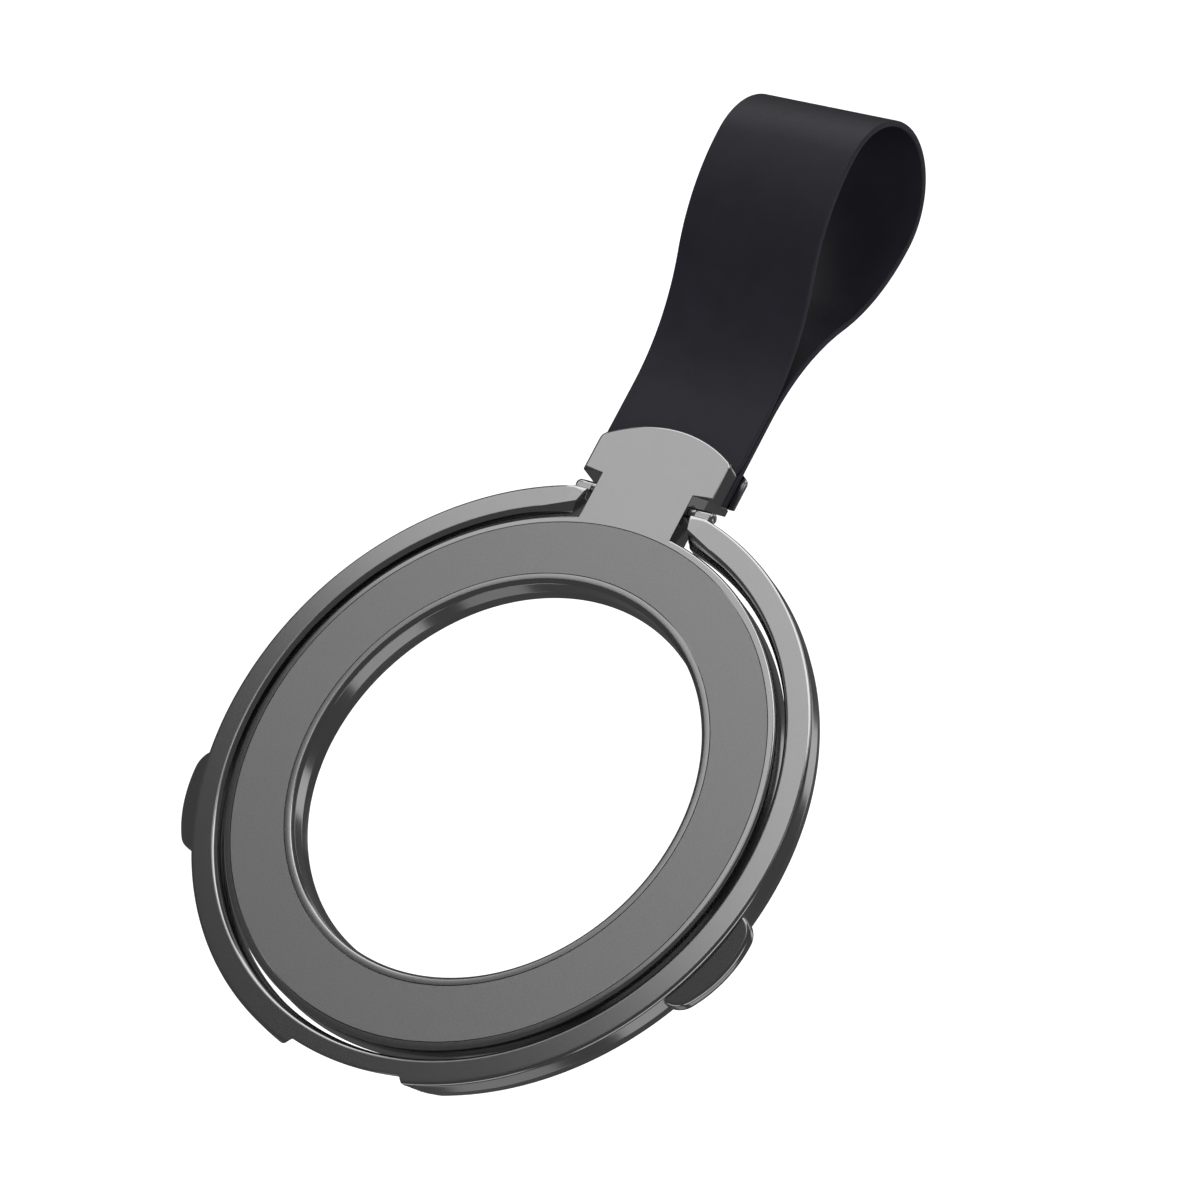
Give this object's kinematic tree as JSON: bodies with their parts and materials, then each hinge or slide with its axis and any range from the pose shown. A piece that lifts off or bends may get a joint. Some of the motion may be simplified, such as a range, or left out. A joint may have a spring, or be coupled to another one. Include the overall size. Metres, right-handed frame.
{
  "type": "magnetic phone ring",
  "caption": "Flat magnet ring for the back of a phone, with a folding ring stand hinged on a short neck and a looped rubber finger strap clamped in the neck's head.",
  "frame": {"origin": "centre of the magnet ring on the face of the pad that lies on the phone", "axes": "+Z away from the phone, +Y along the neck towards the strap, X along the hinge of the stand ring"},
  "size_m": [0.0662, 0.1097, 0.0164],
  "materials": {
    "grey_metal": "satin anodised dark grey",
    "sanded_metal": "fine sand-blasted dark grey",
    "shunt_steel": "plain cold-rolled",
    "magnet_plating": "bright nickel plated",
    "pad_rubber": "matte black silicone",
    "pin_steel": "turned, satin",
    "bush_brass": "turned",
    "strap_rubber": "soft-touch black silicone"
  },
  "bodies": {
    "plate": {"front_frame": "grey_metal", "face_insert": "sanded_metal", "shunt_ring": "shunt_steel", "magnet_segments": "magnet_plating", "phone_pad": "pad_rubber", "friction_bush_left": "bush_brass", "friction_bush_right": "bush_brass", "friction_washer_left": "pin_steel", "friction_washer_right": "pin_steel", "strap": "strap_rubber", "clamp_plate": "grey_metal", "clamp_screw": "pin_steel"},
    "stand": {"stand_ring": "grey_metal", "hinge_pin": "pin_steel"}
  },
  "joints": [
    {"name": "stand_hinge", "type": "hinge", "parent": "plate", "child": "stand", "pos_m": [0, 0.03195, 0.00215], "axis": [-1, 0, 0], "range_deg": [0, 90]}
  ]
}
